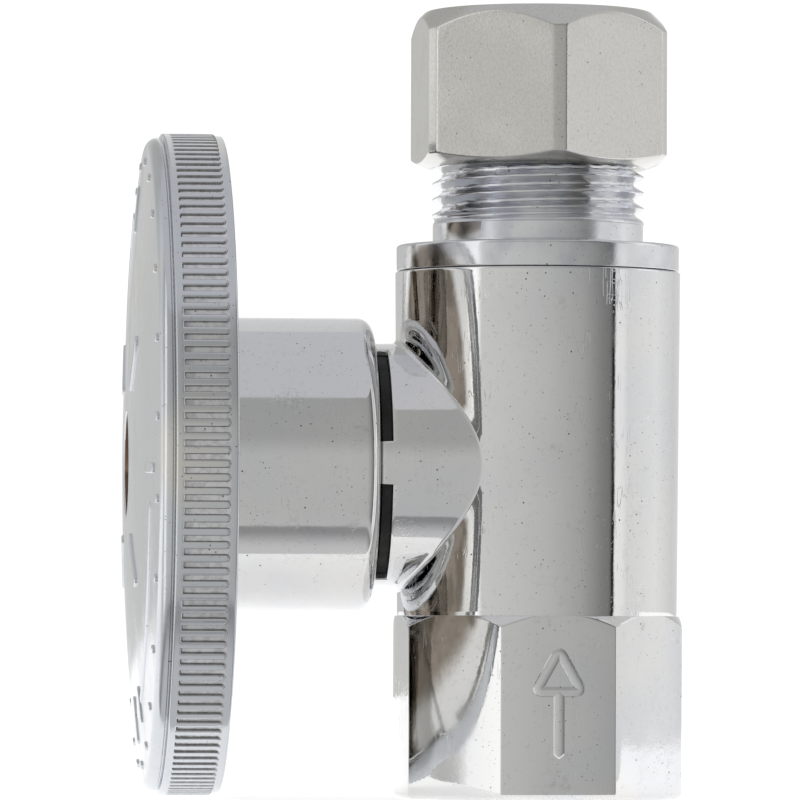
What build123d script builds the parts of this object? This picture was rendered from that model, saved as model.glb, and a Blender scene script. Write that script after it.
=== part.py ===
from build123d import *
import math
import os

# Straight quarter-turn stop valve, mm.
# Z is the flow axis, pointing up towards the outlet, with the inlet face at Z = 0.
# The stem axis points along -X at height STEM_Z.
# Distances "out" are measured from the flow axis towards the handle.
STEM_Z = 22.35

# Body
OCTAGON_FLATS = 18.92
OCTAGON_CORNER_R = 10.16
OCTAGON_TOP = 12.25
OCTAGON_TURN = 3.0
OCTAGON_SHOULDER_R = 9.56
OCTAGON_SHOULDER = 0.95
BARREL_FOOT_R = 9.43
BARREL_TOP_R = 9.63
BARREL_TOP = 35.40
NECK_ROOT_R = 8.45
NECK_END_R = 8.20
NECK_FACE_OUT = 10.45
NECK_FILLET = 0.85
TAB_END_OUT = 11.20
TAB_INNER_R = 7.75
BOSS_R = 5.60
BOSS_END_OUT = 14.00
CAVITY_R = 7.00
FLOW_ARROW_HEIGHT = 0.16
FLOW_R = 3.25

# Inlet, a 3/8 inch female pipe thread of 18 turns per inch
INLET_CREST_R = 7.40
INLET_GROOVE_DEPTH = 0.46
INLET_PITCH = 25.4 / 18
INLET_DEPTH = 10.50
INLET_MOUTH_R = 8.60

# Outlet, a 9/16-24 compression thread for 3/8 inch outside diameter tube
COLLAR_R = 9.55
COLLAR_TOP = 37.20
THREAD_CREST_R = 7.15
THREAD_ROOT_R = 6.48
THREAD_PITCH = 25.4 / 24
THREAD_CREST_WIDTH = 0.12
THREAD_ROOT_WIDTH = 0.16
THREAD_START = 38.70
FITTING_TOP = 47.00
TUBE_SOCKET_R = 4.84
TUBE_SOCKET_FLOOR = 40.00
PLUG_R = 8.20
PLUG_END = 28.30

# Ball and its seats
BALL_R = 6.00
SEAT_INNER_R = 3.60
SEAT_OUTER_R = 6.30
SEAT_NEAR = 3.90
SEAT_FAR = 5.90

# Stem
STEM_R = 3.50
STEM_BORE_R = 3.55
FLANGE_R = 5.00
FLANGE_POCKET_R = 5.10
FLANGE_IN_OUT = 6.90
FLANGE_END_OUT = 8.05
WASHER_END_OUT = 8.52
SHOULDER_OUT = 8.55
DRIVE_FLATS = 5.00
DRIVE_START_OUT = 14.40
STEM_END_OUT = 20.80
O_RING_OUT = (9.90, 12.60)
O_RING_SECTION_R = 0.44
O_RING_FLOOR_R = 2.64

# Handle
RIM_R = 22.05
RIB_R = 22.20
RIB_COUNT = 158
RIB_WIDTH = 0.40
RIM_BACK_OUT = 21.50
RIB_START_OUT = 22.10
RIB_END_OUT = 25.15
DOME_STEP_OUT = 25.70
DOME_EDGE_OUT = 26.60
DOME_EDGE_R = 21.90
DOME_CENTRE_OUT = 27.80
DOME_CORNER_R = 0.80
MARK_HEIGHT = 0.14
HUB_R = 9.90
HUB_INNER_R = 8.30
HUB_END_OUT = 11.30
HUB_FLOOR_OUT = 18.50
DRIVE_BOSS_R = 5.20
DRIVE_BOSS_OUT = 14.60
SCREW_SEAT_OUT = 21.00
SCREW_HEAD_HOLE_R = 3.25
SCREW_HOLE_R = 3.50
SCREW_HOLE_OUT = 23.50
STOP_LUG_OUT = (11.60, 13.60)

# Compression nut and sleeve
NUT_FLATS = 16.20
NUT_EDGE_R = 9.12
NUT_BOTTOM = 42.40
NUT_TOP = 53.00
NUT_CREST_R = 6.62
NUT_ROOT_R = 7.25
NUT_CREST_WIDTH = 0.13
NUT_ROOT_WIDTH = 0.26
NUT_THREAD_END = 49.00
NUT_TUBE_R = 5.15
SLEEVE_BORE_R = 5.00

BOTTOM = (Align.CENTER, Align.CENTER, Align.MIN)


def turned(*points):
    """Solid of revolution about Z through (radius, height) corners."""
    outline = Polyline(*[(r, 0, z) for r, z in points], close=True)
    return revolve(make_face(outline), Axis.Z, 360)


def rod(radius, low, high):
    return Pos(0, 0, low) * Cylinder(radius, high - low, align=BOTTOM)


def ring(inner, outer, low, high):
    return rod(outer, low, high) - rod(inner, low - 1, high + 1)


def on_stem(shape):
    """Moves a shape built along Z onto the stem axis, Z becoming the outward direction."""
    return Pos(0, 0, STEM_Z) * Rot(0, -90, 0) * shape


def sector(inner, outer, low, high, centre_deg, width_deg):
    """Part of a ring, between two angles about Z."""
    half = math.radians(width_deg / 2)
    reach = outer * 1.6
    side = reach * math.tan(half)
    wedge = Polyline((0, 0), (reach, -side), (reach, side), close=True)
    wedge = Pos(0, 0, low) * extrude(make_face(wedge), high - low)
    return (Rot(0, 0, centre_deg) * wedge) & ring(inner, outer, low, high)


def thread_groove(deep_r, open_r, pitch, start, end, deep_width, open_width):
    """Helical groove about Z, deep_r being its floor and open_r the side it opens on."""
    path = Helix(pitch, end - start, deep_r, center=(0, 0, start))
    corners = [
        (deep_r, 0, start - deep_width / 2),
        (deep_r, 0, start + deep_width / 2),
        (open_r, 0, start + open_width / 2),
        (open_r, 0, start - open_width / 2),
    ]
    groove = sweep(make_face(Polyline(*corners, close=True)), path=path, is_frenet=True)
    if groove.volume < 0:
        corners.reverse()
        groove = sweep(make_face(Polyline(*corners, close=True)), path=path, is_frenet=True)
    return groove


def thread_bar(root_r, crest_r, pitch, low, high, crest_width, root_width):
    """Solid bar with a right-hand thread, a crest of which crosses +X at height THREAD_START."""
    flank = (pitch - crest_width - root_width) / 2

    def at(radius, along):
        angle = 2 * math.pi * (low - THREAD_START - along) / pitch
        return (radius * math.cos(angle), radius * math.sin(angle))

    def arc(radius, start, end):
        return ThreePointArc(at(radius, start), at(radius, (start + end) / 2), at(radius, end))

    def spiral(start_r, start, end_r, end, steps=6):
        return Spline(
            *[
                at(start_r + (end_r - start_r) * i / steps, start + (end - start) * i / steps)
                for i in range(steps + 1)
            ]
        )

    crest = crest_width / 2
    foot = crest + flank
    section = make_face(
        [
            arc(crest_r, -crest, crest),
            spiral(crest_r, crest, root_r, foot),
            arc(root_r, foot, pitch - foot),
            spiral(root_r, pitch - foot, crest_r, pitch - crest),
        ]
    ).face()
    turns = (high - low) / pitch
    return Solid.extrude_linear_with_rotation(
        Pos(0, 0, low) * section, (0, 0, low), (0, 0, high - low), 360 * turns
    )


def o_ring(centre_r, section_r, height):
    return Pos(0, 0, height) * Torus(centre_r, section_r)


def make_valve_body():
    wrench = RegularPolygon(OCTAGON_FLATS / 2, 8, major_radius=False, rotation=22.5 + OCTAGON_TURN)
    octagon = extrude(wrench, OCTAGON_TOP) & turned(
        (0, 0),
        (OCTAGON_CORNER_R - 0.45, 0),
        (OCTAGON_CORNER_R, 0.45),
        (OCTAGON_CORNER_R, OCTAGON_TOP - OCTAGON_SHOULDER),
        (OCTAGON_SHOULDER_R, OCTAGON_TOP),
        (0, OCTAGON_TOP),
    )
    barrel = turned(
        (0, OCTAGON_TOP),
        (BARREL_FOOT_R, OCTAGON_TOP),
        (BARREL_TOP_R, BARREL_TOP),
        (0, BARREL_TOP),
    )
    neck = on_stem(
        turned((0, 1), (NECK_ROOT_R, 1), (NECK_END_R, NECK_FACE_OUT), (0, NECK_FACE_OUT))
    )
    outside = barrel + neck
    seam = [
        e
        for e in outside.edges()
        if e.geom_type not in (GeomType.CIRCLE, GeomType.LINE)
        and e.center().X < -2
        and e.length > 3
    ]
    outside = outside.fillet(NECK_FILLET, seam) + octagon

    shaft = Rectangle(0.80, 4.80)
    head = Pos(0, 3.4) * make_face(Polyline((-1.9, -1.6), (1.9, -1.6), (0, 1.9), close=True))
    arrow = extrude(shaft + head, FLOW_ARROW_HEIGHT + 0.3)
    outside += Rot(0, 0, OCTAGON_TURN) * Pos(0, 0.3 - OCTAGON_FLATS / 2, 5.2) * Rot(90, 0, 0) * arrow

    boss = rod(BOSS_R, 9, BOSS_END_OUT)
    for angle in (0, 180):
        boss += sector(BOSS_R - 0.3, 7.30, *STOP_LUG_OUT, angle, 45)
    for angle, width in ((0, 39), (180, 39), (90, 20), (270, 20)):
        boss += sector(TAB_INNER_R, NECK_END_R, NECK_FACE_OUT - 0.8, TAB_END_OUT, angle, width)
    body = outside + on_stem(boss)

    stem_bore = rod(STEM_BORE_R, 0, BOSS_END_OUT + 1)
    flange_pocket = rod(FLANGE_POCKET_R, 0, SHOULDER_OUT)
    body -= on_stem(stem_bore + flange_pocket)

    cavity = turned(
        (0, -1),
        (INLET_MOUTH_R + 1, -1),
        (INLET_CREST_R, INLET_MOUTH_R - INLET_CREST_R),
        (INLET_CREST_R, INLET_DEPTH),
        (4.60, INLET_DEPTH + 2.0),
        (4.60, STEM_Z - SEAT_FAR - 0.02),
        (SEAT_OUTER_R + 0.02, STEM_Z - SEAT_FAR - 0.02),
        (SEAT_OUTER_R + 0.02, STEM_Z - SEAT_NEAR - 0.7),
        (CAVITY_R, STEM_Z - SEAT_NEAR),
        (CAVITY_R, PLUG_END - 0.5),
        (PLUG_R + 0.03, PLUG_END - 0.5),
        (PLUG_R + 0.03, BARREL_TOP + 1),
        (0, BARREL_TOP + 1),
    )
    body -= cavity
    groove_floor = INLET_CREST_R + INLET_GROOVE_DEPTH
    groove_open = INLET_CREST_R - 0.3
    flank = (groove_floor - groove_open) * math.tan(math.radians(30))
    body -= thread_groove(
        groove_floor, groove_open, INLET_PITCH, -1.4, INLET_DEPTH - 1.3, 0.08, 0.08 + 2 * flank
    )
    return body


def make_outlet_fitting():
    lower = turned(
        (0, PLUG_END),
        (PLUG_R, PLUG_END),
        (PLUG_R, 33.40),
        (7.40, 33.40),
        (7.40, 34.60),
        (PLUG_R, 34.60),
        (PLUG_R, BARREL_TOP + 0.05),
        (COLLAR_R - 0.12, BARREL_TOP + 0.05),
        (COLLAR_R, BARREL_TOP + 0.17),
        (COLLAR_R, COLLAR_TOP - 0.25),
        (COLLAR_R - 0.25, COLLAR_TOP),
        (THREAD_CREST_R - 0.05, COLLAR_TOP),
        (THREAD_CREST_R - 0.05, THREAD_START),
        (0, THREAD_START),
    )
    thread = thread_bar(
        THREAD_ROOT_R,
        THREAD_CREST_R,
        THREAD_PITCH,
        THREAD_START,
        FITTING_TOP,
        THREAD_CREST_WIDTH,
        THREAD_ROOT_WIDTH,
    )
    envelope = turned(
        (0, THREAD_START),
        (THREAD_CREST_R + 0.3, THREAD_START),
        (THREAD_CREST_R + 0.3, FITTING_TOP - 0.9),
        (THREAD_CREST_R - 0.6, FITTING_TOP),
        (0, FITTING_TOP),
    )
    bore = turned(
        (0, PLUG_END - 1),
        (SEAT_OUTER_R + 0.02, PLUG_END - 1),
        (SEAT_OUTER_R + 0.02, STEM_Z + SEAT_FAR + 0.02),
        (3.60, STEM_Z + SEAT_FAR + 0.02),
        (3.60, TUBE_SOCKET_FLOOR),
        (TUBE_SOCKET_R, TUBE_SOCKET_FLOOR),
        (TUBE_SOCKET_R, FITTING_TOP - 0.80),
        (TUBE_SOCKET_R + 0.90, FITTING_TOP + 0.10),
        (0, FITTING_TOP + 0.10),
    )
    return lower + (thread & envelope) - bore


def make_ball():
    ball = Sphere(BALL_R) - Cylinder(FLOW_R, 3 * BALL_R)
    slot = Pos(-BALL_R, 0, 0) * Box(3.6, 3 * BALL_R, 2.60)
    return Pos(0, 0, STEM_Z) * (ball - slot)


def make_seat(side):
    """PTFE ring with a spherical face bearing on the ball; side is -1 below it, 1 above."""
    blank = ring(SEAT_INNER_R, SEAT_OUTER_R, SEAT_NEAR, SEAT_FAR) - Sphere(BALL_R + 0.03)
    if side < 0:
        blank = Rot(180, 0, 0) * blank
    return Pos(0, 0, STEM_Z) * blank


def make_stem():
    stem = turned(
        (0, FLANGE_IN_OUT),
        (FLANGE_R - 0.3, FLANGE_IN_OUT),
        (FLANGE_R, FLANGE_IN_OUT + 0.3),
        (FLANGE_R, FLANGE_END_OUT),
        (STEM_R, FLANGE_END_OUT),
        (STEM_R, STEM_END_OUT - 0.4),
        (STEM_R - 0.4, STEM_END_OUT),
        (0, STEM_END_OUT),
    )
    tang = Pos(0, 0, 4.40) * Box(2.50, 6.00, 3.00, align=BOTTOM)
    stem += tang & rod(3.40, 4, 8)
    for out in O_RING_OUT:
        stem -= ring(O_RING_FLOOR_R, STEM_R + 1, out - 0.6, out + 0.6)
    square = Pos(0, 0, DRIVE_START_OUT) * Box(DRIVE_FLATS, DRIVE_FLATS, 10, align=BOTTOM)
    stem -= rod(STEM_R + 1, DRIVE_START_OUT, STEM_END_OUT + 1) - square
    stem -= rod(1.78, 14.60, STEM_END_OUT + 1)
    return on_stem(stem)


def dome_out(radius):
    """How far out the dome's face stands at a distance from the stem axis."""
    edge = DOME_EDGE_R - DOME_CORNER_R
    rise = DOME_CENTRE_OUT - DOME_EDGE_OUT
    sphere_r = (edge**2 + rise**2) / (2 * rise)
    return DOME_CENTRE_OUT - sphere_r + math.sqrt(sphere_r**2 - radius**2)


def rounding(start, centre, end):
    """Arc in the XZ plane from start to end about centre, each given as (radius, height)."""
    radius = math.dist(start, centre)
    lean = [(a + b) / 2 - c for a, b, c in zip(start, end, centre)]
    scale = radius / math.hypot(*lean)
    middle = [c + v * scale for c, v in zip(centre, lean)]
    return ThreePointArc(*[(r, 0, z) for r, z in (start, middle, end)])


def profile(*points):
    return Polyline(*[(r, 0, z) for r, z in points])


def dome_line(inner, outer, lift=0.0):
    """Curve of the dome's face between two radii, raised by lift."""
    radii = (outer, (inner + outer) / 2, inner)
    return ThreePointArc(*[(r, 0, dome_out(r) + lift) for r in radii])


def dome_marks():
    """Raised marks on the dome: two arrowed arcs, their end ticks, a ring of dots and bars."""
    arc_r = 17.2
    marks = []
    for start in (200, 20):
        line = CenterArc((0, 0), arc_r, start, 60)
        marks.append(trace(line, 0.7))
        head = make_face(Polyline((0, -2.2), (1.4, 0.5), (-1.4, 0.5), close=True))
        marks.append(Rot(0, 0, start) * Pos(arc_r, 0) * head)
        for tick_deg in (start + 68, start - 16):
            marks.append(Rot(0, 0, tick_deg) * Pos(arc_r, 0) * Rectangle(3.2, 0.7))
    for index in range(24):
        marks.append(Rot(0, 0, 15 * index + 7.5) * Pos(20.3, 0) * Circle(0.30))
    for index in range(4):
        marks.append(Rot(0, 0, 90 * index + 45) * Pos(9.2, 0) * Rectangle(4.6, 0.8))
    blanks = [Pos(0, 0, DOME_EDGE_OUT - 0.5) * extrude(mark, 3) for mark in marks]
    skin = revolve(
        make_face(
            [
                dome_line(6.0, 20.8, MARK_HEIGHT).edge(),
                profile((6.0, dome_out(6.0) + MARK_HEIGHT), (6.0, 26.0), (20.8, 26.0)).wire(),
                profile((20.8, 26.0), (20.8, dome_out(20.8) + MARK_HEIGHT)).edge(),
            ]
        ),
        Axis.Z,
        360,
    )
    return [blank & skin for blank in blanks]


def rim_ribs():
    """Band of straight ribs round the rim, with gaps between them."""
    pitch = 360 / RIB_COUNT
    half = math.degrees(RIB_WIDTH / 2 / RIB_R)
    corners = []
    for index in range(RIB_COUNT):
        foot, crest = RIM_R - 0.1, RIB_R
        for radius, turn in ((foot, -half), (crest, -half), (crest, half), (foot, half)):
            angle = math.radians(pitch * index + turn)
            corners.append((radius * math.cos(angle), radius * math.sin(angle)))
    outline = make_face(Polyline(*corners, close=True))
    return Pos(0, 0, RIB_START_OUT) * extrude(outline, RIB_END_OUT - RIB_START_OUT)


def make_handle():
    edge = DOME_EDGE_R - DOME_CORNER_R
    dome_foot = dome_out(edge) - DOME_CORNER_R
    section = [
        dome_line(SCREW_HOLE_R, edge),
        profile(
            (SCREW_HOLE_R, dome_out(SCREW_HOLE_R)),
            (SCREW_HOLE_R, SCREW_HOLE_OUT),
            (SCREW_HEAD_HOLE_R, SCREW_HOLE_OUT),
            (SCREW_HEAD_HOLE_R, SCREW_SEAT_OUT),
            (2.0, SCREW_SEAT_OUT),
            (2.0, DRIVE_BOSS_OUT),
            (DRIVE_BOSS_R, DRIVE_BOSS_OUT),
            (DRIVE_BOSS_R, HUB_FLOOR_OUT),
            (HUB_INNER_R, HUB_FLOOR_OUT),
            (HUB_INNER_R, HUB_END_OUT),
            (HUB_R - 1.0, HUB_END_OUT),
        ),
        rounding(
            (HUB_R - 1.0, HUB_END_OUT),
            (HUB_R - 1.0, HUB_END_OUT + 1.0),
            (HUB_R, HUB_END_OUT + 1.0),
        ),
        profile(
            (HUB_R, HUB_END_OUT + 1.0),
            (HUB_R, 25.00),
            (20.40, 24.60),
            (20.40, RIM_BACK_OUT),
            (RIM_R - 0.35, RIM_BACK_OUT),
            (RIM_R, RIM_BACK_OUT + 0.35),
            (RIM_R, RIB_END_OUT + 0.30),
            (RIM_R - 0.15, RIB_END_OUT + 0.45),
            (DOME_EDGE_R - 0.25, DOME_STEP_OUT - 0.05),
            (DOME_EDGE_R, DOME_STEP_OUT + 0.10),
            (DOME_EDGE_R, dome_foot),
        ),
        rounding(
            (DOME_EDGE_R, dome_foot),
            (edge, dome_foot),
            (edge, dome_foot + DOME_CORNER_R),
        ),
    ]
    handle = revolve(make_face(section), Axis.Z, 360)
    drive = Pos(0, 0, DRIVE_BOSS_OUT - 1) * Box(
        DRIVE_FLATS + 0.06, DRIVE_FLATS + 0.06, SCREW_SEAT_OUT - DRIVE_BOSS_OUT + 0.9, align=BOTTOM
    )
    handle -= drive & rod(STEM_R + 0.03, 0, 40)
    for index in range(6):
        rib = Pos(15.15, 0, 22.60) * Box(11.3, 1.4, 2.60, align=BOTTOM)
        handle += Rot(0, 0, 60 * index + 30) * rib
    for angle in (-45, 135):
        handle += sector(6.80, HUB_INNER_R + 0.3, *STOP_LUG_OUT, angle, 44)
    handle += rim_ribs() - rod(RIM_R - 0.6, 0, 40)
    for mark in dome_marks():
        handle += mark
    return on_stem(handle)


def make_handle_screw():
    head = turned((0, 21.55), (3.05, 21.55), (3.05, 22.60), (2.50, 23.15), (0, 23.30))
    shank = turned((0, 15.40), (1.30, 15.40), (1.74, 15.90), (1.74, 21.60), (0, 21.60))
    slot = Pos(0, 0, 22.30) * (Box(4.2, 0.8, 3, align=BOTTOM) + Box(0.8, 4.2, 3, align=BOTTOM))
    return on_stem(head + shank - slot)


def make_lock_washer():
    """Split spring washer."""
    washer = ring(1.85, 3.00, SCREW_SEAT_OUT + 0.01, 21.54)
    return on_stem(washer - Pos(2.5, 0, 21.3) * Rot(20, 0, 0) * Box(2.4, 0.5, 3))


def make_compression_sleeve():
    return turned(
        (SLEEVE_BORE_R, 46.46),
        (SLEEVE_BORE_R + 0.06, 46.46),
        (5.62, 47.05),
        (5.62, 50.60),
        (5.16, 51.30),
        (SLEEVE_BORE_R, 51.30),
    )


def make_compression_nut():
    hexagon = RegularPolygon(NUT_FLATS / 2, 6, major_radius=False, rotation=-27)
    blank = Pos(0, 0, NUT_BOTTOM) * extrude(hexagon, NUT_TOP - NUT_BOTTOM)
    blank &= turned(
        (0, NUT_BOTTOM),
        (7.35, NUT_BOTTOM),
        (NUT_EDGE_R, NUT_BOTTOM + 0.72),
        (NUT_EDGE_R, NUT_TOP - 1.5),
        (NUT_EDGE_R - 1.5, NUT_TOP),
        (0, NUT_TOP),
    )
    thread = thread_bar(
        NUT_CREST_R,
        NUT_ROOT_R,
        THREAD_PITCH,
        NUT_BOTTOM - 0.5,
        NUT_THREAD_END,
        NUT_ROOT_WIDTH,
        NUT_CREST_WIDTH,
    )
    mouth = turned(
        (0, NUT_BOTTOM - 0.5),
        (7.80, NUT_BOTTOM - 0.5),
        (6.40, NUT_BOTTOM + 0.9),
        (0, NUT_BOTTOM + 0.9),
    )
    tube_hole = turned(
        (0, NUT_THREAD_END - 0.8),
        (NUT_ROOT_R + 0.08, NUT_THREAD_END - 0.8),
        (NUT_ROOT_R + 0.08, NUT_THREAD_END + 0.5),
        (5.70, NUT_THREAD_END + 0.5),
        (5.70, 50.63),
        (NUT_TUBE_R, 51.47),
        (NUT_TUBE_R, NUT_TOP - 0.4),
        (NUT_TUBE_R + 0.5, NUT_TOP + 0.1),
        (0, NUT_TOP + 0.1),
    )
    return blank - thread - mouth - tube_hole


def stem_o_ring(index):
    centre_r = O_RING_FLOOR_R + 0.01 + O_RING_SECTION_R
    return on_stem(o_ring(centre_r, O_RING_SECTION_R, O_RING_OUT[index]))


NODES = {
    "valve_body": make_valve_body,
    "outlet_fitting": make_outlet_fitting,
    "fitting_o_ring": lambda: o_ring(7.815, 0.40, 34.00),
    "inlet_ball_seat": lambda: make_seat(-1),
    "outlet_ball_seat": lambda: make_seat(1),
    "ball": make_ball,
    "stem": make_stem,
    "stem_thrust_washer": lambda: on_stem(ring(3.56, FLANGE_R, FLANGE_END_OUT + 0.01, WASHER_END_OUT)),
    "stem_o_ring_inner": lambda: stem_o_ring(0),
    "stem_o_ring_outer": lambda: stem_o_ring(1),
    "dust_seal": lambda: on_stem(ring(BOSS_R + 0.02, TAB_INNER_R - 0.05, NECK_FACE_OUT + 0.02, 11.10)),
    "handle": make_handle,
    "handle_screw": make_handle_screw,
    "screw_lock_washer": make_lock_washer,
    "compression_sleeve": make_compression_sleeve,
    "compression_nut": make_compression_nut,
}

os.makedirs("parts", exist_ok=True)
for node, make in NODES.items():
    export_step(make(), f"parts/{node}.step")
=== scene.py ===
import math

import bmesh
import bpy
from mathutils import Matrix, Vector


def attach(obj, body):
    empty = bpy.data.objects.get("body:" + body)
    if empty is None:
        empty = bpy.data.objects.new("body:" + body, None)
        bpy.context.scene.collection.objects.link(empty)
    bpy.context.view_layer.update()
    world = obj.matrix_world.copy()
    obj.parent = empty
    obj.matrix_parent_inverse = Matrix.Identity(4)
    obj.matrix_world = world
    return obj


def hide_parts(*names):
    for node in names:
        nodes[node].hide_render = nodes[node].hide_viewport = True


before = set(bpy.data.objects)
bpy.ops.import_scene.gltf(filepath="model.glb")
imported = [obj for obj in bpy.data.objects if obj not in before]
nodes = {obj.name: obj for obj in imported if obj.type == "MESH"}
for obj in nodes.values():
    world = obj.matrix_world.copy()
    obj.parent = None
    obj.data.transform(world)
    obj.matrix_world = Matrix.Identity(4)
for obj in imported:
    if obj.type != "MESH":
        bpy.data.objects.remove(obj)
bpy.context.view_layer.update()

MM = 0.001

# Dimensions in millimetres, in the frame of the valve: Z up the flow axis, the stem axis along -X.
STEM_Z = 22.35
STEM_BORE_R = 5.10
INLET_R = 7.40
INLET_GROOVE = 0.46
FLAT_APOTHEM = 9.46
OCTAGON_CORNER_R = 10.14
OCTAGON_TOP = 12.25
OCTAGON_TURN = 3.0
FLAT_CROWN = 0.24
SHOULDER_R = 9.56
SHOULDER_DROP = 0.95
BARREL_FOOT_R = 9.43
BARREL_TOP_R = 9.62
BARREL_TOP = 35.39
BARREL_LOW = OCTAGON_TOP + 0.25
BARREL_HIGH = BARREL_TOP - 0.22
CAVITY_R = 7.0
CAVITY_FLOOR = 17.05
CAVITY_TOP = 27.8
NECK_R = 8.20
NECK_ROOT_R = 8.43
NECK_FACE = 10.45
TAB_END = 11.20
TAB_INNER_R = 7.75
BOSS_R = 5.60
BOSS_END = 14.00
TABS = ((0, 39), (90, 20), (180, 39), (270, 20))
THREAD_PITCH = 25.4 / 24
THREAD_START = 38.70
THREAD_CREST_R = 7.15
THREAD_ROOT_R = 6.48
FITTING_TOP = 47.00
COLLAR_R = 9.54
COLLAR_TOP = 37.20
SOCKET_R = 4.84
NUT_BOTTOM = 42.40
NUT_TOP = 52.99
NUT_APOTHEM = 8.10
NUT_CORNER_R = 9.11
NUT_TURN = 3.0
RIM_R = 22.04
RIB_R = 22.19
RIB_COUNT = 158
DOME_EDGE_R = 21.90
DOME_CORNER_R = 0.80
DOME_EDGE = 26.60
DOME_CENTRE = 27.79
HUB_R = 9.89
HUB_END = 11.31
HUB_CORNER_R = 0.98
HOLE_EDGE_R = 3.72
RIB_START = 22.10
RIB_FOOT = 0.272
SLOT_END = 24.96
NECK_FILLET = 0.36
FLOW_ARROW = 0.16
MARK_RISE = 0.13
MARK_ARC_R = 17.2
MARK_SINK = 0.03
MARK_ROOT = 0.12
CREASE_ANGLE = 38.0


# ---------------------------------------------------------------- mesh tools


def smooth_min(a, b, blend):
    """The smaller of two values, with the change from one to the other rounded over blend."""
    h = max(blend - abs(a - b), 0.0) / blend
    return min(a, b) - h * h * blend / 4


def smooth_step(x):
    x = min(max(x, 0.0), 1.0)
    return x * x * (3 - 2 * x)


def spread(start, end, count):
    """count + 1 evenly spaced values from start to end."""
    return [start + (end - start) * i / count for i in range(count + 1)]


def soften(corners, radius=0.12, steps=4, closed=False):
    """Polyline with its corners rounded, each giving steps + 1 points. A corner may carry a radius."""
    count = len(corners)
    line = []
    for i, corner in enumerate(corners):
        here = Vector(corner[:2])
        if not closed and i in (0, count - 1):
            line.append(tuple(here))
            continue
        back = Vector(corners[i - 1][:2]) - here
        ahead = Vector(corners[(i + 1) % count][:2]) - here
        size = corner[2] if len(corner) > 2 else radius
        reach = min(size, back.length * 0.45, ahead.length * 0.45)
        start, end = here + back.normalized() * reach, here + ahead.normalized() * reach
        for k in range(steps + 1):
            t = k / steps
            line.append(tuple(start * (1 - t) ** 2 + here * 2 * t * (1 - t) + end * t * t))
    return line


def divide(line, longest):
    """Adds points so that no run of the polyline is longer than longest."""
    out = [line[0]]
    for a, b in zip(line, line[1:]):
        parts = max(1, math.ceil(math.dist(a, b) / longest))
        out += [tuple(p + (q - p) * k / parts for p, q in zip(a, b)) for k in range(1, parts + 1)]
    return out


def flow_point(r, theta, z):
    """Point at angle theta (radians from +X) about the flow axis."""
    return (r * math.cos(theta), r * math.sin(theta), z)


def stem_point(r, phi, out):
    """Point at angle phi (radians from straight up) about the stem axis, out towards the handle."""
    return (-out, r * math.sin(phi), STEM_Z + r * math.cos(phi))


class Shell:
    """Vertices and faces of one piece, in millimetres."""

    def __init__(self):
        self.points = []
        self.faces = []

    def ring(self, points):
        start = len(self.points)
        self.points.extend(points)
        return list(range(start, len(self.points)))

    def loft(self, rings, looped=False):
        """Quads between successive rings of equal length. looped joins the last ring to the first."""
        pairs = list(zip(rings, rings[1:]))
        if looped:
            pairs.append((rings[-1], rings[0]))
        for low, high in pairs:
            count = len(low)
            for i in range(count):
                j = (i + 1) % count
                self.faces.append((low[i], low[j], high[j], high[i]))

    def zip(self, inner, outer, angle_of):
        """Triangles between two closed rings whose points are sorted by the same angle."""
        a = sorted(inner, key=lambda i: angle_of(self.points[i]))
        b = sorted(outer, key=lambda i: angle_of(self.points[i]))
        i = j = 0
        while i < len(a) or j < len(b):
            turn_a = angle_of(self.points[a[i % len(a)]]) + (2 * math.pi if i >= len(a) else 0)
            turn_b = angle_of(self.points[b[j % len(b)]]) + (2 * math.pi if j >= len(b) else 0)
            step_a = j >= len(b) or (i < len(a) and turn_a <= turn_b)
            if step_a:
                nxt = a[(i + 1) % len(a)]
                self.faces.append((a[i % len(a)], nxt, b[j % len(b)]))
                i += 1
            else:
                nxt = b[(j + 1) % len(b)]
                self.faces.append((a[i % len(a)], nxt, b[j % len(b)]))
                j += 1

    def lathe(self, line, thetas, point=flow_point, looped=True):
        """Surface of revolution; line is (radius, height), radius a number or a function of angle."""
        rings = []
        for r, h in line:
            radii = [r(t) if callable(r) else r for t in thetas]
            rings.append(self.ring([point(rr, t, h) for rr, t in zip(radii, thetas)]))
        self.loft(rings, looped=looped)
        return rings

    def columns(self, thetas, column):
        """Surface whose outline differs by angle; column(theta) lists as many (radius, height) for each."""
        lines = [column(t) for t in thetas]
        rings = []
        for row in zip(*lines):
            rings.append(self.ring([flow_point(r, t, h) for (r, h), t in zip(row, thetas)]))
        self.loft(rings)
        return rings


def flow_angle(p):
    return math.atan2(p[1], p[0])


def make_piece(name, shell, body, *replaced):
    """Turns a shell into a Blender object that rides on a CAD body and replaces CAD nodes."""
    bm = bmesh.new()
    verts = [bm.verts.new(Vector(p) * MM) for p in shell.points]
    for face in shell.faces:
        corners = [verts[i] for i in dict.fromkeys(face)]
        if len(corners) > 2:
            try:
                bm.faces.new(corners)
            except ValueError:
                pass
    bmesh.ops.remove_doubles(bm, verts=bm.verts, dist=2e-6)
    bmesh.ops.dissolve_degenerate(bm, edges=bm.edges, dist=1e-6)
    loose = [v for v in bm.verts if not v.link_faces]
    bmesh.ops.delete(bm, geom=loose, context="VERTS")
    bmesh.ops.recalc_face_normals(bm, faces=bm.faces)
    mesh = bpy.data.meshes.new(name)
    bm.to_mesh(mesh)
    bm.free()
    mesh.polygons.foreach_set("use_smooth", [True] * len(mesh.polygons))
    mesh.set_sharp_from_angle(angle=math.radians(CREASE_ANGLE))
    obj = bpy.data.objects.new(name, mesh)
    bpy.context.scene.collection.objects.link(obj)
    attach(obj, body)
    if replaced:
        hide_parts(*replaced)
    return obj


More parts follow.
